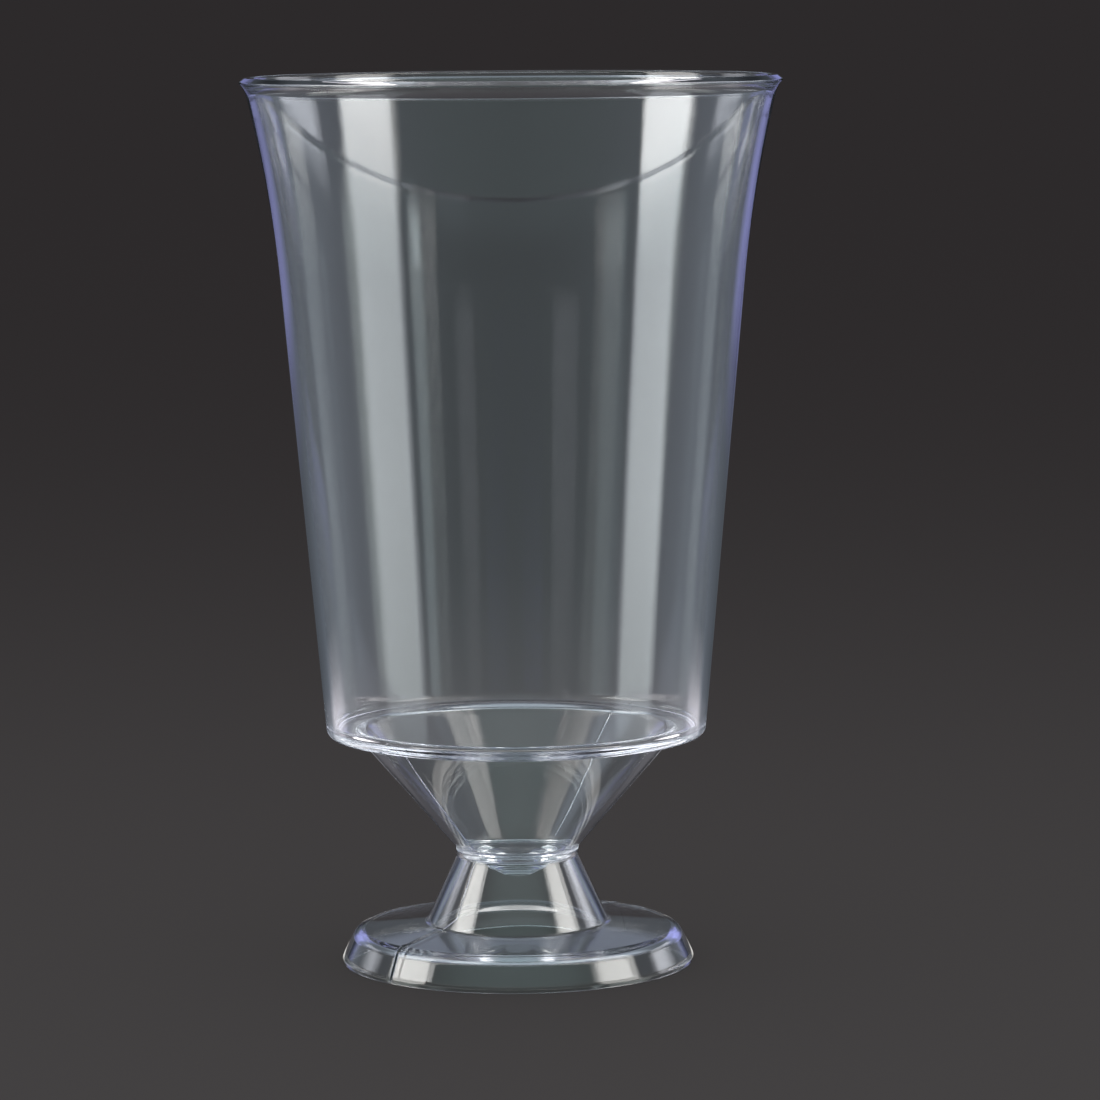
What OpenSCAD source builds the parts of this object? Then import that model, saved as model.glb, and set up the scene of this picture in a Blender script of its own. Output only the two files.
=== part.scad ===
// Disposable wine glass: a clear moulded goblet in two push-fitted pieces.
// The bowl is a flared cup with a thin turned-out lip, a ledge round its foot
// and a hollow cone that ends in a short spigot. The base is a hollow tapered
// stem with a socket collar at its top and a round skirted foot at its bottom.
// +Z is up, the origin is the centre of the ring that stands on the table.

/* [Cup] */
// Outer diameter at the tip of the lip
rim_d = 70; // [69:0.5:71]
// Height of the top of the rim above the table
height = 115.4; // [114:0.2:118]
// Wall thickness of the cup
cup_wall = 1.15; // [1:0.05:1.3]
// Outer radius of the cup just above its ledge
cup_foot_r = 24.7; // [24.4:0.1:25]
// Taper of the straight part of the wall, in degrees from vertical
cup_taper = 5.1; // [4.9:0.1:5.3]
// Height at which the wall starts to flare
flare_z = 87.5; // [84:0.5:90]
// How far the lip turns out beyond the flare
lip_turn = 0.5; // [0.3:0.02:0.56]
// Height of the underside of the ledge
ledge_z = 29.9; // [29.2:0.1:30.2]
// Thickness of the ledge
ledge_t = 1.1; // [1:0.1:1.6]

/* [Cone] */
// Outer radius of the cone where it meets the ledge
cone_top_r = 20.8; // [20:0.1:21.4]
// Outer radius of the neck at the foot of the cone
neck_r = 8.06; // [7.96:0.02:8.2]
// Height of the shoulder that sits on the collar
neck_z = 14.7; // [14.5:0.05:14.8]
// Height of the plain land at the neck
neck_land = 0.45; // [0.3:0.05:0.6]
// Wall thickness of the cone at its floor, measured level
cone_wall = 1.45; // [1.3:0.05:1.6]
// Wall thickness of the cone at the ledge, measured level
cone_wall_top = 1.9; // [1.6:0.05:2.1]
// Height of the floor inside the cone
cone_floor_z = 15.3; // [15.2:0.05:15.8]

/* [Spigot] */
// Radius of the spigot that pushes into the collar
spigot_r = 7.2; // [7:0.05:7.25]
// Height of the lower edge of the spigot
spigot_z = 13.8; // [13.6:0.05:13.9]
// Radius of the boss under the spigot, at its root
boss_r = 5.2; // [4.9:0.1:5.6]
// How far the end face of the spigot rises towards the boss
boss_dish = 0.1; // [0.05:0.05:0.3]
// Radius of the boss where its rounded underside begins
boss_knee_r = 3.9; // [3.6:0.1:4.2]
// Height of the rounded underside of the boss
boss_knee = 1; // [0.8:0.1:1.2]
// Radius of the blunt tip of the boss
boss_tip_r = 1.8; // [1.4:0.1:2]
// Height of the tip of the boss
boss_z = 11.2; // [10.9:0.1:11.4]
// Radial play between the spigot and its socket
spigot_play = 0.05; // [0.03:0.01:0.1]
// Height of the gap under the shoulder
seat_gap = 0.03; // [0.02:0.01:0.1]

/* [Base] */
// Outer radius of the collar at its top edge
collar_r = 7.95; // [7.9:0.01:8]
// Height of the lower edge of the collar
collar_z = 13.85; // [13.7:0.05:13.95]
// Outer radius of the stem just under the collar
stem_top_r = 7.88; // [7.84:0.01:7.92]
// Slope of the stem, in degrees from vertical
stem_taper = 25.2; // [24:0.2:26]
// Wall thickness of the stem, measured level
stem_wall = 1.2; // [1.15:0.05:1.35]
// Height of the foot's top face where it meets the stem
foot_top_z = 5.2; // [5:0.05:5.6]
// Fall of the foot's top face towards its edge, in degrees
foot_fall = 5.2; // [4:0.2:7]
// Outer radius of the foot where it stands
foot_r = 23; // [22.4:0.1:24]
// Slope of the foot's skirt, in degrees from vertical
skirt_taper = 25.6; // [23:0.2:27]
// Rounding between the foot's top face and its skirt
foot_round = 1.8; // [1:0.1:2.2]
// Wall thickness of the foot
foot_wall = 1.15; // [1:0.05:1.3]

/* [Hidden] */
$fn = 128;
clear_plastic = [0.80, 0.86, 0.93, 0.35];

// ---- helpers: a section is a list of [radius, height, corner radius] ----
function flat2(p) = [p[0], p[1]];
function unit(v) = v / norm(v);
function corner(a, b, c, rad, n) =
    let (u = unit(a - b), v = unit(c - b),
         half = acos(u * v) / 2,
         m = b + unit(u + v) * rad / sin(half),
         p = b + u * rad / tan(half),
         q = b + v * rad / tan(half),
         a0 = atan2(p[1] - m[1], p[0] - m[0]),
         d = atan2(q[1] - m[1], q[0] - m[0]) - a0,
         sweep = d > 180 ? d - 360 : d < -180 ? d + 360 : d)
    [for (i = [0 : n]) m + rad * [cos(a0 + sweep * i / n), sin(a0 + sweep * i / n)]];
function section(pts, n = 6) =
    [for (i = [0 : len(pts) - 1])
        each (i == 0 || i == len(pts) - 1 || pts[i][2] == 0)
            ? [flat2(pts[i])]
            : corner(flat2(pts[i - 1]), flat2(pts[i]), flat2(pts[i + 1]), pts[i][2], n)];

// ---- lip: a small round tip, turned out, with a slope up to the rim ----
rim_r = rim_d / 2;
tip_round = 0.28;
tip_z = height - 0.66;
tip_lean = 28;
tip_slope = 51;
lip_r = rim_r - tip_round + tip_round * cos(tip_lean);
lip_z = tip_z - tip_round * sin(tip_lean);
turn_z = lip_z - 1.9;

// ---- cup wall: straight taper, then a shallow flare up to the lip ----
function wall_line(z) = cup_foot_r + (z - ledge_z) * tan(cup_taper);
flare_r = pow(lip_z - flare_z, 2) / (2 * (lip_r - lip_turn - wall_line(lip_z)));
function wall_flare(z) = wall_line(z) + (z > flare_z ? pow(z - flare_z, 2) / (2 * flare_r) : 0);
function wall_out(z) = wall_flare(z)
    + (z > turn_z ? lip_turn * pow((z - turn_z) / (lip_z - turn_z), 3) : 0);
function wall_in(z) = wall_flare(z) - cup_wall;
flare_steps = 20;
turn_steps = 6;
floor_z = ledge_z + ledge_t;

// ---- cone ----
cone_slope = (cone_top_r - neck_r) / (ledge_z - neck_z - neck_land);
function cone_out(z) = cone_top_r - (ledge_z - z) * cone_slope;
function cone_in(z) = cone_out(z) - cone_wall
    - (cone_wall_top - cone_wall) * (z - cone_floor_z) / (floor_z - cone_floor_z);

bowl_section = section(concat(
    // boss and spigot
    [[0, boss_z, 0],
     [boss_tip_r, boss_z, 0.5],
     [boss_knee_r, boss_z + boss_knee, 0.9],
     [boss_r, spigot_z + boss_dish, 0.4],
     [spigot_r, spigot_z, 0.25],
     [spigot_r, neck_z, 0],
     // shoulder, neck and cone
     [neck_r, neck_z, 0.08],
     [neck_r, neck_z + neck_land, 0.5],
     // ledge
     [cone_top_r, ledge_z, 0.5],
     [cup_foot_r - 0.02, ledge_z, 1.0]],
    // outside of the wall, turned out at the lip
    [for (i = [0 : flare_steps])
        let (z = flare_z + (turn_z - flare_z) * i / flare_steps) [wall_out(z), z, 0]],
    [for (i = [1 : turn_steps])
        let (z = turn_z + (lip_z - turn_z) * i / turn_steps) [wall_out(z), z, 0]],
    // tip of the lip, then the slope up to the rim
    [for (i = [1 : 6])
        let (a = -tip_lean + (tip_lean + tip_slope) * i / 6)
        [rim_r - tip_round + tip_round * cos(a), tip_z + tip_round * sin(a), 0]],
    [[rim_r - tip_round + tip_round / cos(tip_slope) - (height - tip_z) * tan(tip_slope), height, 0.3],
     [wall_in(height) - 0.05, height, 0.4]],
    // inside of the wall
    [for (i = [flare_steps : -1 : 0])
        let (z = flare_z + (turn_z - flare_z) * i / flare_steps) [wall_in(z), z, 0]],
    // ledge floor, inside of the cone and its floor
    [[wall_in(floor_z), floor_z, 1.1],
     [cone_in(floor_z), floor_z, 1.6],
     [cone_in(cone_floor_z), cone_floor_z, 0.6],
     [0, cone_floor_z, 0]]));

// ---- base ----
collar_top_z = neck_z - seat_gap;
socket_r = spigot_r + spigot_play;
seat_z = spigot_z - 0.15;
stem_slope = tan(stem_taper);
function stem_out(z) = stem_top_r + (collar_z - z) * stem_slope;
function stem_in(z) = stem_out(z) - stem_wall;
skirt_slope = tan(skirt_taper);
fall = tan(foot_fall);
rest_z = 0.55;
// where the stem, the top face and the skirt meet
stem_foot_r = stem_out(foot_top_z);
edge_z = (foot_top_z - fall * (foot_r + rest_z * skirt_slope - stem_foot_r))
    / (1 - fall * skirt_slope);
edge_r = foot_r - (edge_z - rest_z) * skirt_slope;
under_z = foot_top_z - foot_wall;
stem_under_r = stem_in(under_z);
edge_in_r = edge_r - 0.75;
edge_in_z = under_z - fall * (edge_in_r - stem_under_r);
rest_in_r = foot_r - 1.15;

base_section = section([
    [rest_in_r, 0, 0],
    [foot_r - 0.06, 0, 0.15],
    [foot_r, rest_z, 0.2],
    [edge_r, edge_z, foot_round],
    [stem_foot_r, foot_top_z, 0.45],
    [stem_top_r, collar_z, 0.05],
    [stem_top_r + 0.12, collar_z + 0.06, 0.06],
    [collar_r, collar_top_z, 0.15],
    [socket_r + 0.2, collar_top_z, 0],
    [socket_r, collar_top_z - 0.2, 0],
    [socket_r, seat_z, 0],
    [min(stem_in(seat_z), socket_r - 0.04), seat_z - 0.25, 0],
    [stem_under_r, under_z, 0.6],
    [edge_in_r, edge_in_z, foot_round * 0.55],
    [rest_in_r - 0.05, rest_z, 0.2],
    [rest_in_r, 0, 0]]);

// Cup, ledge, cone and spigot, moulded as one shell
module bowl() {
    color(clear_plastic)
        rotate_extrude() polygon(bowl_section);
}

// Socket collar, hollow stem and skirted foot, moulded as one shell
module base() {
    color(clear_plastic)
        rotate_extrude() polygon(base_section);
}

bowl();
base();
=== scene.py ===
import math

import bpy
import numpy as np
from mathutils import Matrix, Vector


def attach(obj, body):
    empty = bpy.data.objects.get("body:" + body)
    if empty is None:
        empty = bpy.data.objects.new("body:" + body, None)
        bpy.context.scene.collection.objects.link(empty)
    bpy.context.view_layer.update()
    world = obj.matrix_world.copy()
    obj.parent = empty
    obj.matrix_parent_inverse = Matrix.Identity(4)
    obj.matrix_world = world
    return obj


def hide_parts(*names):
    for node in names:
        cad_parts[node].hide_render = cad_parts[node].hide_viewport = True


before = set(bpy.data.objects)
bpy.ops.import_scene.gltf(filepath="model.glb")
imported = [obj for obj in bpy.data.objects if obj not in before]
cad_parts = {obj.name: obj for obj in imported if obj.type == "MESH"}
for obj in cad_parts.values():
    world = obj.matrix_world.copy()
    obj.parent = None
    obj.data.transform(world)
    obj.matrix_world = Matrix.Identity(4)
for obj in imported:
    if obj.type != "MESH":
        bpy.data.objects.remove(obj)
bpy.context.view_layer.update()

MM = 0.001
rng = np.random.default_rng(41)

# ---------------------------------------------------------------- sections
# The same sections as the solid model, in millimetres, with finer corners.
RIM_R, HEIGHT, CUP_WALL = 34.98, 115.4, 1.15
CUP_FOOT_R, CUP_TAPER = 24.7, math.tan(math.radians(5.1))
FLARE_Z = 87.5
LEDGE_Z, LEDGE_T = 29.9, 1.1
CONE_TOP_R, NECK_R, NECK_Z, NECK_LAND = 20.8, 8.06, 14.7, 0.45
CONE_WALL, CONE_WALL_TOP, CONE_FLOOR_Z = 1.45, 1.9, 15.3
SPIGOT_R, SPIGOT_Z = 7.2, 13.8
BOSS_R, BOSS_DISH, BOSS_TIP_R, BOSS_Z = 5.2, 0.1, 1.8, 11.2
BOSS_KNEE_R, BOSS_KNEE = 3.9, 1.0
PLAY, SEAT_GAP = 0.05, 0.03
COLLAR_R, COLLAR_Z = 7.95, 13.85
STEM_TOP_R, STEM_SLOPE, STEM_WALL = 7.88, math.tan(math.radians(25.2)), 1.2
FOOT_TOP_Z, FALL = 5.2, math.tan(math.radians(5.2))
FOOT_R, SKIRT_SLOPE, FOOT_WALL, FOOT_ROUND = 23.0, math.tan(math.radians(25.6)), 1.15, 1.8
REST_Z = 0.55

# lip: a small round tip, turned out, with a slope up to the rim
TIP, TIP_LEAN, TIP_SLOPE, LIP_TURN = 0.28, math.radians(28), math.radians(51), 0.5
TIP_Z = HEIGHT - 0.66
LIP_R = RIM_R - TIP + TIP * math.cos(TIP_LEAN)
LIP_Z = TIP_Z - TIP * math.sin(TIP_LEAN)
TURN_Z = LIP_Z - 1.9


def wall_line(z):
    return CUP_FOOT_R + (z - LEDGE_Z) * CUP_TAPER


FLARE_R = (LIP_Z - FLARE_Z) ** 2 / (2 * (LIP_R - LIP_TURN - wall_line(LIP_Z)))


def wall_flare(z):
    return wall_line(z) + max(z - FLARE_Z, 0.0) ** 2 / (2 * FLARE_R)


def wall_out(z):
    return wall_flare(z) + LIP_TURN * (max(z - TURN_Z, 0.0) / (LIP_Z - TURN_Z)) ** 3


def wall_in(z):
    return wall_flare(z) - CUP_WALL


FLOOR_Z = LEDGE_Z + LEDGE_T
CONE_SLOPE = (CONE_TOP_R - NECK_R) / (LEDGE_Z - NECK_Z - NECK_LAND)


def cone_in(z):
    wall = CONE_WALL + (CONE_WALL_TOP - CONE_WALL) * (z - CONE_FLOOR_Z) / (FLOOR_Z - CONE_FLOOR_Z)
    return CONE_TOP_R - (LEDGE_Z - z) * CONE_SLOPE - wall


def stem_out(z):
    return STEM_TOP_R + (COLLAR_Z - z) * STEM_SLOPE


def corner(a, b, c, rad, n):
    a, b, c = (np.array(p, float) for p in (a, b, c))
    u = (a - b) / np.linalg.norm(a - b)
    v = (c - b) / np.linalg.norm(c - b)
    half = math.acos(float(np.clip(u @ v, -1, 1))) / 2
    m = b + (u + v) / np.linalg.norm(u + v) * rad / math.sin(half)
    p = b + u * rad / math.tan(half)
    q = b + v * rad / math.tan(half)
    a0 = math.atan2(p[1] - m[1], p[0] - m[0])
    d = math.atan2(q[1] - m[1], q[0] - m[0]) - a0
    d = d - 2 * math.pi if d > math.pi else d + 2 * math.pi if d < -math.pi else d
    return [m + rad * np.array([math.cos(a0 + d * i / n), math.sin(a0 + d * i / n)]) for i in range(n + 1)]


def rounded(pts, arc_step=0.06):
    """Corner points [r, z, radius, tag] to a smooth run of [r, z] with the tag of the edge that follows."""
    out, tags = [], []
    for i, p in enumerate(pts):
        rad = p[2]
        if i in (0, len(pts) - 1) or rad == 0:
            out.append(np.array(p[:2], float))
            tags.append(p[3])
            continue
        n = int(min(20, max(6, rad / arc_step)))
        arc = corner(pts[i - 1][:2], p[:2], pts[i + 1][:2], rad, n)
        out += arc
        tags += [p[3]] * len(arc)
    return out, tags


def refine(pts, tags, longest):
    """Extra points on long edges, close to their ends first so that rounded corners shade cleanly."""
    out, kept = [pts[0]], [tags[0]]
    for a, b, t, tb in zip(pts[:-1], pts[1:], tags[:-1], tags[1:]):
        length = float(np.linalg.norm(b - a))
        if length > 0.35:
            lead = min(0.08, length * 0.2)
            stops = [lead / length] + list(
                np.linspace(lead / length, 1 - lead / length, max(2, int(length / longest) + 2))[1:-1]
            ) + [1 - lead / length]
            for s in stops:
                out.append(a + (b - a) * s)
                kept.append(t)
        out.append(b)
        kept.append(tb)
    return out, kept


def bowl_points():
    zs = [FLARE_Z + (TURN_Z - FLARE_Z) * i / 60 for i in range(61)]
    turn = [TURN_Z + (LIP_Z - TURN_Z) * i / 12 for i in range(1, 13)]
    arc = [-TIP_LEAN + (TIP_LEAN + TIP_SLOPE) * i / 10 for i in range(1, 11)]
    top_r = RIM_R - TIP + TIP / math.cos(TIP_SLOPE) - (HEIGHT - TIP_Z) * math.tan(TIP_SLOPE)
    pts = [
        [0, BOSS_Z, 0, "plug"], [BOSS_TIP_R, BOSS_Z, 0.5, "plug"], [BOSS_KNEE_R, BOSS_Z + BOSS_KNEE, 0.9, "plug"],
        [BOSS_R, SPIGOT_Z + BOSS_DISH, 0.4, "plug"], [SPIGOT_R, SPIGOT_Z, 0.25, "plug"], [SPIGOT_R, NECK_Z, 0, "plug"],
        [NECK_R, NECK_Z, 0.08, "plug"], [NECK_R, NECK_Z + NECK_LAND, 0.5, "cone"],
        [CONE_TOP_R, LEDGE_Z, 0.5, "ledge"], [CUP_FOOT_R - 0.02, LEDGE_Z, 1.0, "wall"],
    ]
    pts += [[wall_out(z), z, 0, "wall"] for z in zs]
    pts += [[wall_out(z), z, 0, "rim"] for z in turn]
    pts += [[RIM_R - TIP + TIP * math.cos(a), TIP_Z + TIP * math.sin(a), 0, "rim"] for a in arc]
    pts += [[top_r, HEIGHT, 0.3, "rim"], [wall_in(HEIGHT) - 0.05, HEIGHT, 0.4, "rim"]]
    pts += [[wall_in(z), z, 0, "inner"] for z in reversed(zs)]
    pts += [
        [wall_in(FLOOR_Z), FLOOR_Z, 1.1, "floor"], [cone_in(FLOOR_Z), FLOOR_Z, 1.6, "incone"],
        [cone_in(CONE_FLOOR_Z), CONE_FLOOR_Z, 0.6, "well"], [0, CONE_FLOOR_Z, 0, "well"],
    ]
    return pts


def base_points():
    top_z = NECK_Z - SEAT_GAP
    socket = SPIGOT_R + PLAY
    seat_z = SPIGOT_Z - 0.15
    foot_in = stem_out(FOOT_TOP_Z)
    edge_z = (FOOT_TOP_Z - FALL * (FOOT_R + REST_Z * SKIRT_SLOPE - foot_in)) / (1 - FALL * SKIRT_SLOPE)
    edge_r = FOOT_R - (edge_z - REST_Z) * SKIRT_SLOPE
    under_z = FOOT_TOP_Z - FOOT_WALL
    under_r = stem_out(under_z) - STEM_WALL
    in_r = edge_r - 0.75
    in_z = under_z - FALL * (in_r - under_r)
    rest_in = FOOT_R - 1.15
    return [
        [rest_in, 0, 0, "rest"], [FOOT_R - 0.06, 0, 0.15, "rest"], [FOOT_R, REST_Z, 0.2, "skirt"],
        [edge_r, edge_z, FOOT_ROUND, "top"], [foot_in, FOOT_TOP_Z, 0.45, "stem"],
        [STEM_TOP_R, COLLAR_Z, 0.05, "collar"], [STEM_TOP_R + 0.12, COLLAR_Z + 0.06, 0.06, "collar"],
        [COLLAR_R, top_z, 0.15, "seat"], [socket + 0.2, top_z, 0, "seat"], [socket, top_z - 0.2, 0, "seat"],
        [socket, seat_z, 0, "seat"],
        [min(stem_out(seat_z) - STEM_WALL, socket - 0.04), seat_z - 0.25, 0, "instem"],
        [under_r, under_z, 0.6, "under"], [in_r, in_z, FOOT_ROUND * 0.55, "inskirt"],
        [rest_in - 0.05, REST_Z, 0.2, "rest"], [rest_in, 0, 0, "rest"],
    ]


# ---------------------------------------------------------------- lathe
# The two halves of the mould meet along two lines, front left and back right.
SEAMS = (math.radians(225.0), math.radians(50.0))


def columns(n):
    """Angles round the axis, closer together at the two mould seams."""
    step = 2 * math.pi / n
    near = np.radians([0.09, 0.18, 0.28, 0.4, 0.55, 0.75, 1.05, 1.5])
    out = []
    for i in range(n):
        a = SEAMS[0] + i * step
        d = min(abs((a - s + math.pi) % (2 * math.pi) - math.pi) for s in SEAMS)
        if d > math.radians(2.0):
            out.append(a % (2 * math.pi))
    for s in SEAMS:
        out += [(s + o) % (2 * math.pi) for o in [0.0, *near, *(-near)]]
    return np.array(sorted(out))


class Waves:
    """Slow, shallow undulation of a moulded wall: a few microns, a few lobes round the axis."""

    def __init__(self, lobes, slope, tall):
        self.rows = []
        for m in lobes:
            self.rows.append((m, slope, rng.uniform(0, 2 * math.pi), rng.uniform(-1, 1) / tall, rng.uniform(0, 2 * math.pi)))

    def __call__(self, phi, z, r):
        h = 0.0
        for m, slope, p, k, q in self.rows:
            h = h + slope * np.maximum(r, 4.0) / m * np.cos(m * phi + p + 2 * math.pi * k * z) * (0.7 + 0.3 * np.cos(2 * math.pi * z * abs(k) * 1.7 + q))
        return h


WAVES = {
    "wall": Waves((2, 3, 5, 7, 11, 16), 0.0010, 60.0),
    "inner": Waves((2, 3, 4, 6, 9, 14), 0.0010, 60.0),
    "cone": Waves((3, 5, 8, 12), 0.0016, 20.0),
    "incone": Waves((3, 4, 7, 11), 0.0016, 20.0),
    "stem": Waves((3, 5, 7), 0.0015, 16.0),
    "instem": Waves((3, 4, 6), 0.0015, 16.0),
    "top": Waves((2, 3, 5), 0.0012, 30.0),
    "skirt": Waves((3, 4, 6), 0.0012, 30.0),
}


def seam_turn(k, tag, r, z):
    """How far the seam strays from its own angle, in degrees, by place."""
    if tag == "cone":
        if k == 0:
            return 0.6 * math.sin(z * 0.45)
        return 1.7 / (1 + math.exp(-(z - 25.0) / 0.1)) - 0.5 + 0.5 * math.sin(z * 0.6)
    if tag in ("top", "skirt") and k == 0:
        return -1.5 - 9.0 * (max(20.9 - r, 0.0) / 8.55) ** 1.5 + (1.0 - z / 4.0 if r > 21.2 else 0.0)
    if tag == "stem" and k == 0:
        return -10.0 * max(0.0, 1 - (z - FOOT_TOP_Z) / 1.6)
    return 0.0


def lathe(name, pts, longest, n, ridge):
    run, tags = rounded(pts)
    run, tags = refine(run, tags, longest)
    P = np.array(run)
    keep = [0]
    for i in range(1, len(P)):
        if np.linalg.norm(P[i] - P[keep[-1]]) > 1e-4:
            keep.append(i)
    P, tags = P[keep], [tags[i] for i in keep]
    closed = np.linalg.norm(P[0] - P[-1]) < 1e-4
    if closed:
        P, tags = P[:-1], tags[:-1]
    # outward normal of the section (the section runs with the material on its left)
    nxt = np.roll(P, -1, 0) if closed else np.vstack([P[1:], P[-1:]])
    prv = np.roll(P, 1, 0) if closed else np.vstack([P[:1], P[:-1]])
    t = nxt - prv
    t /= np.maximum(np.linalg.norm(t, axis=1), 1e-9)[:, None]
    N = np.stack([t[:, 1], -t[:, 0]], 1)
    # how far each row is from an edge of its zone, so that the undulation fades out there
    fade = np.ones(len(P))
    for i, tag in enumerate(tags):
        if tag not in WAVES:
            fade[i] = 0
            continue
        lo = i
        while lo > 0 and tags[lo - 1] == tag:
            lo -= 1
        hi = i
        while hi < len(tags) - 1 and tags[hi + 1] == tag:
            hi += 1
        d = min(np.linalg.norm(P[i] - P[lo]), np.linalg.norm(P[i] - P[hi]))
        fade[i] = min(1.0, d / 2.5) ** 2
    phi = columns(n)
    verts, rows = [], []
    for i, (p, tag) in enumerate(zip(P, tags)):
        r, z = p
        if r < 1e-6:
            rows.append([len(verts)])
            verts.append((0.0, 0.0, z * MM))
            continue
        ang = phi.copy()
        h = np.zeros_like(phi)
        for k, s in enumerate(SEAMS):
            d = (phi - s + math.pi) % (2 * math.pi) - math.pi
            ang = ang + math.radians(seam_turn(k, tag, r, z)) * np.exp(-((d / math.radians(14)) ** 2))
            tall, half, round_off = ridge(tag, r, z, k)
            if tall > 0:
                wobble = 1 + 0.2 * math.sin(3.1 * z + 5 * k) * math.sin(1.3 * r + 2 * k)
                h += tall * wobble * np.maximum(1 - (d * r / half) ** 2, 0) ** round_off
        if tag in WAVES:
            h += fade[i] * WAVES[tag](ang, z, r)
        rr, zz = r + N[i, 0] * h, z + N[i, 1] * h
        rows.append(list(range(len(verts), len(verts) + len(phi))))
        verts += list(zip(rr * np.cos(ang) * MM, rr * np.sin(ang) * MM, zz * MM))
    faces, m = [], len(phi)
    pairs = list(zip(range(len(rows) - 1), range(1, len(rows)))) + ([(len(rows) - 1, 0)] if closed else [])
    for a, b in pairs:
        A, B = rows[a], rows[b]
        for j in range(m):
            k = (j + 1) % m
            if len(A) == 1:
                faces.append((A[0], B[k], B[j]))
            elif len(B) == 1:
                faces.append((A[j], A[k], B[0]))
            else:
                faces.append((A[j], A[k], B[k], B[j]))
    me = bpy.data.meshes.new(name)
    me.from_pydata([tuple(float(x) for x in v) for v in verts], [], faces)
    me.validate()
    me.polygons.foreach_set("use_smooth", [True] * len(me.polygons))
    me.update()
    ob = bpy.data.objects.new(name, me)
    bpy.context.scene.collection.objects.link(ob)
    return ob


def bowl_ridge(tag, r, z, k):
    """Height and half width of the seam's flash in millimetres, and how rounded it is."""
    if tag == "cone" and z > 15.4:
        return (0.08, 0.12, 0.5) if k == 0 else (0.16, 0.17, 0.7)
    if tag == "ledge" or (tag == "wall" and z < LEDGE_Z + 0.5):
        return 0.1, 0.18, 0.5
    return 0.0, 1.0, 1.0


def base_ridge(tag, r, z, k):
    if tag in ("top", "skirt") and z > 0.4:
        return (0.2, 0.36, 1.5) if k == 0 else (0.06, 0.13, 0.5)
    if tag == "stem":
        return 0.03, 0.1, 0.5
    return 0.0, 1.0, 1.0


bowl = lathe("bowl_shell", bowl_points(), 1.3, 400, bowl_ridge)
base = lathe("base_shell", base_points(), 0.7, 320, base_ridge)


# ---------------------------------------------------------------- materials
def nodes_of(mat):
    mat.use_nodes = True
    nt = mat.node_tree
    nt.nodes.clear()
    return nt, nt.nodes, nt.links


def clear_plastic(name, seed):
    """Moulded clear polystyrene: polished faces with faint flow lines, fine scuffs and specks; blue in depth."""
    mat = bpy.data.materials.new(name)
    nt, N, L = nodes_of(mat)
    out = N.new("ShaderNodeOutputMaterial")
    p = N.new("ShaderNodeBsdfPrincipled")
    p.inputs["Base Color"].default_value = (0.984, 0.994, 1.0, 1)
    p.inputs["Transmission Weight"].default_value = 1.0
    p.inputs["IOR"].default_value = 1.59
    L.new(p.outputs["BSDF"], out.inputs["Surface"])
    vol = N.new("ShaderNodeVolumeAbsorption")
    vol.inputs["Color"].default_value = (0.07, 0.12, 0.9, 1)
    vol.inputs["Density"].default_value = 2.2
    L.new(vol.outputs["Volume"], out.inputs["Volume"])
    co = N.new("ShaderNodeTexCoord")
    # flow lines, drawn out along the height
    flow_map = N.new("ShaderNodeMapping")
    flow_map.inputs["Scale"].default_value = (420, 420, 16)
    flow_map.inputs["Location"].default_value = (seed, 0, 0)
    flow = N.new("ShaderNodeTexNoise")
    flow.inputs["Scale"].default_value = 1.0
    flow.inputs["Detail"].default_value = 2.0
    L.new(co.outputs["Object"], flow_map.inputs["Vector"])
    L.new(flow_map.outputs["Vector"], flow.inputs["Vector"])
    # scuffs: fine marks where the surface has been handled
    scuff_map = N.new("ShaderNodeMapping")
    scuff_map.inputs["Scale"].default_value = (900, 900, 2200)
    scuff_map.inputs["Rotation"].default_value = (0.5, 0.3, 0.2)
    scuff = N.new("ShaderNodeTexNoise")
    scuff.inputs["Scale"].default_value = 1.0
    scuff.inputs["Detail"].default_value = 4.0
    L.new(co.outputs["Object"], scuff_map.inputs["Vector"])
    L.new(scuff_map.outputs["Vector"], scuff.inputs["Vector"])
    # specks: tiny pits, far apart
    speck = N.new("ShaderNodeTexVoronoi")
    speck.inputs["Scale"].default_value = 170.0
    L.new(co.outputs["Object"], speck.inputs["Vector"])
    pit = N.new("ShaderNodeMapRange")
    pit.inputs["From Min"].default_value = 0.0
    pit.inputs["From Max"].default_value = 0.02
    pit.inputs["To Min"].default_value = 1.0
    pit.inputs["To Max"].default_value = 0.0
    L.new(speck.outputs["Distance"], pit.inputs["Value"])
    # roughness: polished, hazier in scuffed patches
    patch = N.new("ShaderNodeTexNoise")
    patch.inputs["Scale"].default_value = 90.0
    patch.inputs["Detail"].default_value = 3.0
    L.new(co.outputs["Object"], patch.inputs["Vector"])
    both = N.new("ShaderNodeMath")
    both.operation = "MULTIPLY"
    L.new(patch.outputs["Fac"], both.inputs[0])
    L.new(scuff.outputs["Fac"], both.inputs[1])
    rough = N.new("ShaderNodeMapRange")
    rough.inputs["From Min"].default_value = 0.15
    rough.inputs["From Max"].default_value = 0.42
    rough.inputs["To Min"].default_value = 0.008
    rough.inputs["To Max"].default_value = 0.05
    L.new(both.outputs["Value"], rough.inputs["Value"])
    L.new(rough.outputs["Result"], p.inputs["Roughness"])
    # relief
    b1 = N.new("ShaderNodeBump")
    b1.inputs["Strength"].default_value = 1.0
    b1.inputs["Distance"].default_value = 3.0e-6
    L.new(flow.outputs["Fac"], b1.inputs["Height"])
    b2 = N.new("ShaderNodeBump")
    b2.inputs["Strength"].default_value = 1.0
    b2.inputs["Distance"].default_value = 6.0e-6
    b2.invert = True
    L.new(pit.outputs["Result"], b2.inputs["Height"])
    L.new(b1.outputs["Normal"], b2.inputs["Normal"])
    L.new(b2.outputs["Normal"], p.inputs["Normal"])
    return mat


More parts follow.
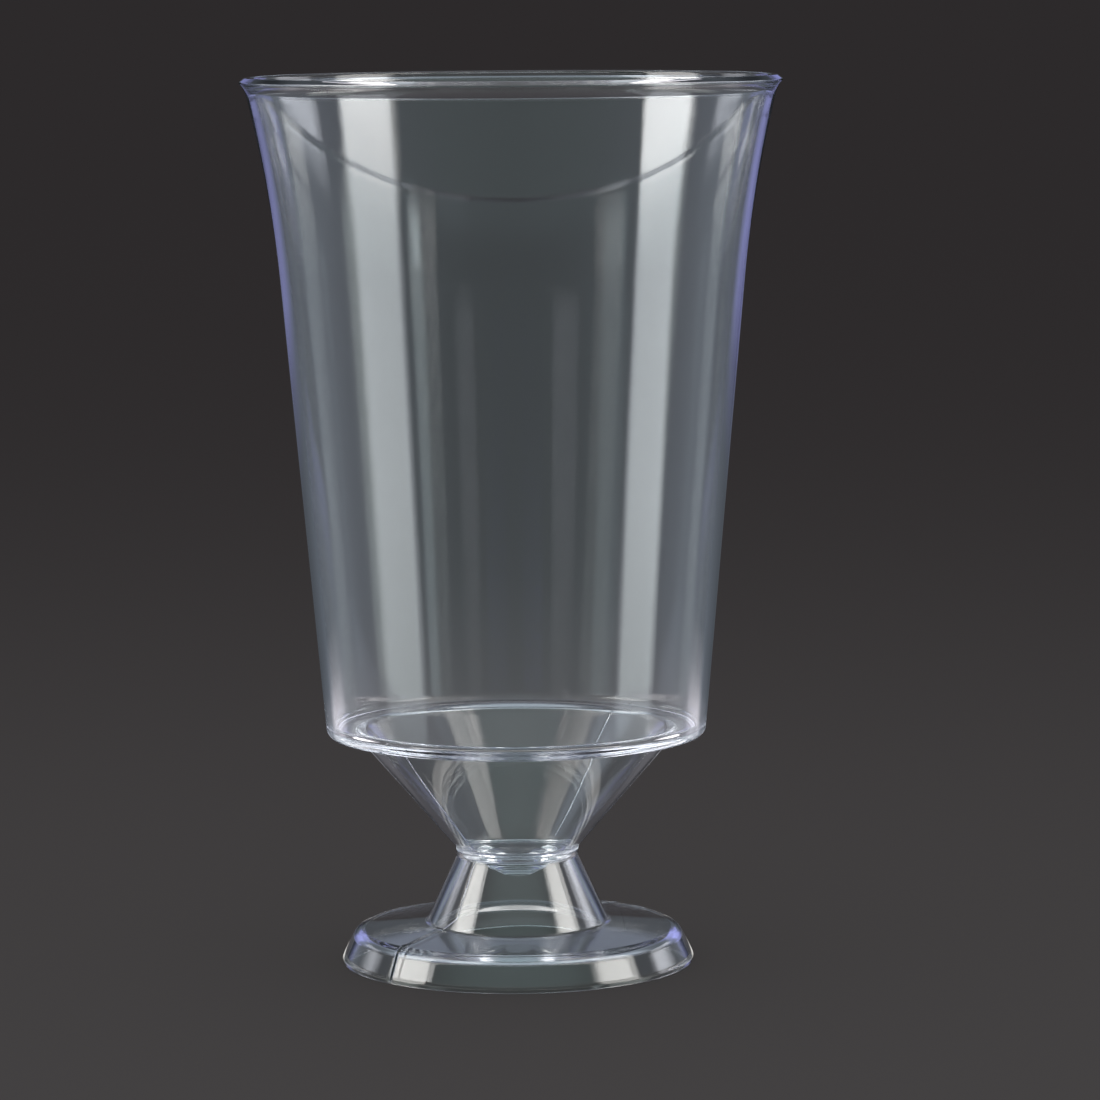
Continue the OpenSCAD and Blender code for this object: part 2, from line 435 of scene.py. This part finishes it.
bowl.data.materials.append(clear_plastic("clear_bowl", 0.0))
base.data.materials.append(clear_plastic("clear_base", 7.0))
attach(bowl, "bowl")
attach(base, "base")
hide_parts("bowl")
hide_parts("base")

# ---------------------------------------------------------------- camera
DIST, CAM_Z = 0.6357, 0.1282
PITCH, YAW, ROLL = math.radians(6.665), math.radians(0.412), math.radians(0.43)
FOCAL_PX = 4921.4
cam_data = bpy.data.cameras.new("camera")
cam_data.sensor_fit = "HORIZONTAL"
cam_data.sensor_width = 36.0
cam_data.lens = 36.0 * FOCAL_PX / 1100.0
cam_data.clip_start, cam_data.clip_end = 0.01, 200.0
cam = bpy.data.objects.new("camera", cam_data)
bpy.context.scene.collection.objects.link(cam)
F = Vector((math.sin(YAW) * math.cos(PITCH), math.cos(YAW) * math.cos(PITCH), -math.sin(PITCH)))
R0 = Vector((math.cos(YAW), -math.sin(YAW), 0.0))
U0 = R0.cross(F)
R = R0 * math.cos(ROLL) - U0 * math.sin(ROLL)
U = U0 * math.cos(ROLL) + R0 * math.sin(ROLL)
m = Matrix.Identity(4)
for i in range(3):
    m[i][0], m[i][1], m[i][2] = R[i], U[i], -F[i]
m[0][3], m[1][3], m[2][3] = 0.0, -DIST, CAM_Z
cam.matrix_world = m
bpy.context.scene.camera = cam


# ---------------------------------------------------------------- stage
def step(a, b, x):
    t = np.clip((x - a) / (b - a), 0, 1)
    return t * t * (3 - 2 * t)


def between(a, a_in, a_out, soft_in, soft_out):
    """1 between two azimuths, fading across each edge."""
    return step(a_in - soft_in, a_in + soft_in, a) * (1 - step(a_out - soft_out, a_out + soft_out, a))


def by(x, table):
    return np.interp(x, *zip(*table))


def tinted(v, rgb):
    return v[..., None] * np.array(rgb)


# brightness of the two soft boxes by elevation in degrees: they are brightest above the object
BOX_LEFT = [(-3, 1.5), (1, 1.5), (6, 1.45), (9, 2.0), (12, 2.8), (15, 4.3), (18, 5.4), (24, 5.9), (34, 5.9), (44, 3.0), (60, 1.2), (80, 0.3)]
BOX_RIGHT = [(-3, 1.65), (1, 1.65), (6, 1.55), (9, 2.0), (12, 2.45), (15, 3.3), (18, 3.9), (24, 5.4), (34, 5.4), (44, 2.7), (70, 2.8), (84, 0.4)]


def glow(az, el):
    """Light that reaches the object from azimuth az (0 is the camera's side, positive right) and elevation el."""
    left, a = az < 0, np.abs(az)
    lift = step(7, 20, el)
    box = between(a, np.where(left, 71.3 - 2.6 * lift, 63.8 - 3.0 * lift), np.where(left, 98.0, 97.5 - 7.0 * lift),
                  np.where(left, 1.5, 1.5 + 2.5 * lift), np.where(left, 3.0, 6.0 - 4.0 * lift))
    power = np.where(left, by(el, BOX_LEFT), by(el, BOX_RIGHT))
    light = tinted(box * power * (1 - lift), (0.94, 1.045, 1.015)) + tinted(box * power * lift, (1.01, 1.01, 0.98))
    # a dim strip in front of each box, with a narrow bright edge on the right
    strip = between(a, 50.0, np.where(left, 63.0, 56.8), 1.5, 1.5) * (1 - box) * (1 - step(13, 18, el))
    light += tinted(strip * np.where(left, 0.32, 0.6) * (1 + 0.8 * np.exp(-(((el - 11) / 3.5) ** 2))), (0.87, 1.04, 1.08))
    edge = between(a, 51.6, 54.4, 0.6, 0.6) * between(el, 8.5, 13.5, 1.2, 1.2) * np.where(left, 0.0, 1.0)
    light += tinted(edge, (1.2, 1.3, 1.3))
    # walls of the studio, cool and dim
    low = by(a, [(0, 0.26), (50, 0.27), (97, 0.30), (112, 0.24), (130, 0.24), (146, 0.24), (168, 0.1), (180, 0.1)])
    low = low * (1 - 0.85 * step(140, 150, a) * (1 - step(2, 5, el)))
    low = low + step(10, 16, el) * 0.09 * (1 - step(30, 60, a))
    low = low + step(18, 26, el) * by(a, [(120, 0.0), (135, -0.1), (155, -0.08), (168, 0.12), (180, 0.12)])
    up = by(a, [(0, 0.57), (30, 0.57), (55, 0.57), (97, 0.55), (104, 0.55), (130, 0.5), (150, 0.42), (165, 0.36), (180, 0.36)])
    up = up + np.where(left, 0.65, -0.2) * between(a, 102, 131, 4, 4) * (1 - step(52, 60, el))
    rise = step(30, 42, el)
    wall = (low * (1 - rise) + up * rise) * (1 - box)
    front = 1 - step(50, 100, a)
    light += tinted(wall * front, (0.80, 1.09, 1.10)) + tinted(wall * (1 - front), (0.86, 0.99, 1.15))
    light += tinted(step(68, 78, el) * 0.15, (1.0, 1.0, 1.0))
    # a small panel behind each box, at the height of the rim
    light += tinted(between(a, np.where(left, 116, 108), 136, 3, 3) * between(el, 12, 20, 3, 2) * np.where(left, 1.75, 2.4), (0.97, 0.99, 1.06))
    # a violet glow behind the object, to both sides, and a soft one above the backdrop
    ends = between(a, 147, 159.5, 2, 1) * by(el, [(0, 0.0), (4, 0.25), (8, 1.0), (13, 1.0), (16, 0.15), (20, 0.0)]) * np.where(left, 0.9, 1.1)
    ends = ends + between(a, 160.5, 170, 1, 1) * by(el, [(7, 0.0), (9, 1.0), (14, 1.0), (16, 0.0)]) * np.where(left, 0.8, 1.0)
    ends = ends + between(a, 160.5, 170, 1, 1) * by(el, [(14, 0.0), (16, 1.0), (18, 1.0), (20, 0.0)]) * np.where(left, 0.4, 0.4)
    light += tinted(ends, (0.31, 0.32, 0.8))
    light += tinted(step(168, 174, a) * between(el, 13, 23, 1.5, 3), (0.22, 0.25, 0.33))
    return light


def low_glow(az, r):
    """Light from below the object's horizon, by azimuth and by distance from the axis where it crosses the floor."""
    left, a = az < 0, np.abs(az)
    a_in = np.where(left, by(r, [(0.14, 51.0), (0.26, 53.8), (0.5, 55.2)]), by(r, [(0.14, 58.0), (0.26, 60.4), (0.5, 61.8)]))
    a_out = np.where(left, by(r, [(0.14, 76.5), (0.26, 79.0), (0.5, 80.4)]), by(r, [(0.14, 82.0), (0.26, 83.5), (0.5, 84.0)]))
    box = between(a, a_in, a_out, 1.5, 1.5)
    power = by(r, [(0.06, 0.1), (0.1, 0.8), (0.14, 1.4), (0.27, 2.0), (0.5, 2.3), (1.3, 2.5)]) * np.where(left, 0.97, 1.12)
    near, close = 1 - step(0.12, 0.22, r), 1 - step(0.095, 0.12, r)
    rest = by(a, [(0, 0.11), (30, 0.15), (50, 0.28), (84, 0.36), (100, 0.45), (116, 0.45), (128, 0.22), (145, 0.11), (160, 0.08), (180, 0.08)])
    rest = rest + 0.2 * near
    rest = rest * (1 - close) + close * by(a, [(0, 0.3), (75, 0.5), (117, 0.5), (122, 0.12), (147, 0.11), (153, 0.02), (180, 0.02)])
    lip = 1.8 * between(a, 72, 119, 5, 2) * close * step(0.05, 0.056, r)
    light = tinted(box * power, (0.94, 0.995, 1.065))
    light += tinted((1 - box) * rest * (1 - near), (0.86, 0.98, 1.16)) + tinted((1 - box) * rest * near, (1.0, 0.98, 1.08))
    light += tinted(np.where(left, 0.5, 0.7) * between(a, 148, 170, 4, 6) * step(0.6, 0.9, r), (0.2, 0.2, 0.5))
    light += tinted(0.8 * between(a, 119, 138, 4, 4) * between(r, 0.1, 0.19, 0.012, 0.03), (1.05, 0.98, 1.04))
    light += tinted((1 - box) * lip, (1.05, 1.0, 0.98))
    # right beside the foot the floor is lit through the glass, further in it is in the foot's shade
    beside = tinted(1 - step(0.0255, 0.0262, r), (1.0, 0.98, 0.93)) + np.array((0.07, 0.068, 0.075))
    return np.where((r < 0.05)[..., None], beside, light)


BACKDROP = (0.0395, 0.036, 0.0375)


def behind(az, el):
    """What shows straight through the glass: the dim backdrop, violet to both sides, and the walls above it."""
    a = np.abs(az)
    high = step(22, 28, el)[..., None]
    side = tinted(between(a, 95, 164, 8, 4), (0.10, 0.10, 0.26))
    return glow(az, el) * high + (np.array(BACKDROP) + side) * (1 - high)


def lit(name, co, quads, values):
    """A stage surface whose brightness is held per vertex: one value for reflections and one for straight through."""
    me = bpy.data.meshes.new(name)
    me.from_pydata([tuple(map(float, v)) for v in co], [], quads)
    for label, data in values.items():
        att = me.attributes.new(label, "FLOAT_COLOR", "POINT")
        att.data.foreach_set("color", np.concatenate([data, np.ones((len(data), 1))], 1).astype(np.float32).ravel())
    ob = bpy.data.objects.new(name, me)
    bpy.context.scene.collection.objects.link(ob)
    mat = bpy.data.materials.new(name)
    nt, N, L = nodes_of(mat)
    out = N.new("ShaderNodeOutputMaterial")
    path = N.new("ShaderNodeLightPath")
    mirrored = N.new("ShaderNodeMath")
    mirrored.operation = "MINIMUM"
    mirrored.inputs[1].default_value = 1.0
    L.new(path.outputs["Glossy Depth"], mirrored.inputs[0])
    mix = N.new("ShaderNodeMixShader")
    L.new(mirrored.outputs["Value"], mix.inputs[0])
    for label, socket in (("through", 1), ("glow", 2)):
        if label in values:
            col = N.new("ShaderNodeAttribute")
            col.attribute_name = label
            em = N.new("ShaderNodeEmission")
            L.new(col.outputs["Color"], em.inputs["Color"])
            L.new(em.outputs["Emission"], mix.inputs[socket])
        else:
            clear = N.new("ShaderNodeBsdfTransparent")
            L.new(clear.outputs["BSDF"], mix.inputs[socket])
    L.new(mix.outputs["Shader"], out.inputs["Surface"])
    mat.cycles.emission_sampling = "NONE"
    me.materials.append(mat)
    # it is kept off the floor, which has a lamp of its own, and stands out of every picture
    ob.visible_camera = False
    ob.visible_diffuse = False
    ob.visible_shadow = False
    return ob


def studio(dist):
    """A dome of soft boxes and dim walls round the object, open behind it, and their lower part, level with the floor."""
    az = np.arange(-180, 180.01, 0.5)
    nc = len(az)
    el = np.concatenate([np.linspace(-2.6, 24, 45), np.linspace(25, 89, 49)])
    A, E = np.meshgrid(az, el)
    ra, re = np.radians(A), np.radians(E)
    co = np.stack([np.sin(ra) * np.cos(re) * dist, -np.cos(ra) * np.cos(re) * dist, 0.06 + np.sin(re) * dist], -1).reshape(-1, 3)
    quads = []
    for j in range(len(el) - 1):
        for i in range(nc - 1):
            if abs(az[i] + 0.25) > 171 and el[j + 1] < 7:
                continue
            quads.append((j * nc + i, j * nc + i + 1, (j + 1) * nc + i + 1, (j + 1) * nc + i))
    lit("soft_boxes", co, quads, {"glow": glow(A, E).reshape(-1, 3), "through": behind(A, E).reshape(-1, 3)})
    r = np.array([0.0234, 0.0255, 0.0262, 0.03, 0.0499, 0.05, 0.056, 0.065, 0.08, 0.1, 0.12, 0.14, 0.17, 0.2, 0.24, 0.28, 0.34, 0.42, 0.52, 0.7, 0.95, dist])
    A, Q = np.meshgrid(az, r)
    ra = np.radians(A)
    co = np.stack([np.sin(ra) * Q, -np.cos(ra) * Q, np.full_like(Q, 0.0003)], -1).reshape(-1, 3)
    quads = [(j * nc + i, j * nc + i + 1, (j + 1) * nc + i + 1, (j + 1) * nc + i) for j in range(len(r) - 1) for i in range(nc - 1)]
    lit("low_glow", co, quads, {"glow": low_glow(A, Q).reshape(-1, 3)})


studio(1.3)

# floor: plain and pale, lit by a lamp above and in front, so that it falls into shade behind the object
fm = bpy.data.meshes.new("floor")
n = 96
fv = [(0.0, 0.0, 0.0)]
ff = []
radii = [0.05, 0.1, 0.2, 0.4, 0.8, 1.6, 4.0, 12.0, 60.0]
for r in radii:
    fv += [(r * math.cos(2 * math.pi * i / n), r * math.sin(2 * math.pi * i / n), 0.0) for i in range(n)]
for i in range(n):
    ff.append((0, 1 + i, 1 + (i + 1) % n))
for k in range(len(radii) - 1):
    a, b = 1 + k * n, 1 + (k + 1) * n
    for i in range(n):
        j = (i + 1) % n
        ff.append((a + i, b + i, b + j, a + j))
fm.from_pydata(fv, [], ff)
floor = bpy.data.objects.new("floor", fm)
bpy.context.scene.collection.objects.link(floor)
floor.location = (0, 0, -0.00002)
fmat = bpy.data.materials.new("floor_paper")
nt, N, L = nodes_of(fmat)
out = N.new("ShaderNodeOutputMaterial")
p = N.new("ShaderNodeBsdfPrincipled")
p.inputs["Base Color"].default_value = (0.66, 0.645, 0.645, 1)
p.inputs["Roughness"].default_value = 1.0
p.inputs["Specular IOR Level"].default_value = 0.0
L.new(p.outputs["BSDF"], out.inputs["Surface"])
fm.materials.append(fmat)

ld = bpy.data.lights.new("floor_lamp", "AREA")
ld.shape, ld.size = "DISK", 0.35
ld.energy = 0.18
lamp = bpy.data.objects.new("floor_lamp", ld)
lamp.location = (0, -0.14, 0.58)
lamp.visible_camera = False
lamp.visible_glossy = False
lamp.visible_transmission = False
bpy.context.scene.collection.objects.link(lamp)
for ob in (bowl, base):
    ob.visible_shadow = False

world = bpy.data.worlds.new("world")
bpy.context.scene.world = world
world.use_nodes = True
world.node_tree.nodes["Background"].inputs["Color"].default_value = (*BACKDROP, 1)
world.node_tree.nodes["Background"].inputs["Strength"].default_value = 1.0

# ---------------------------------------------------------------- light transport and tone
sc = bpy.context.scene
sc.view_settings.view_transform = "Standard"
sc.view_settings.look = "None"
sc.cycles.max_bounces = 32
sc.cycles.transmission_bounces = 32
sc.cycles.glossy_bounces = 24
sc.cycles.diffuse_bounces = 3
sc.cycles.blur_glossy = 0.0
sc.cycles.caustics_reflective = False
sc.cycles.caustics_refractive = False
sc.cycles.sample_clamp_indirect = 12.0
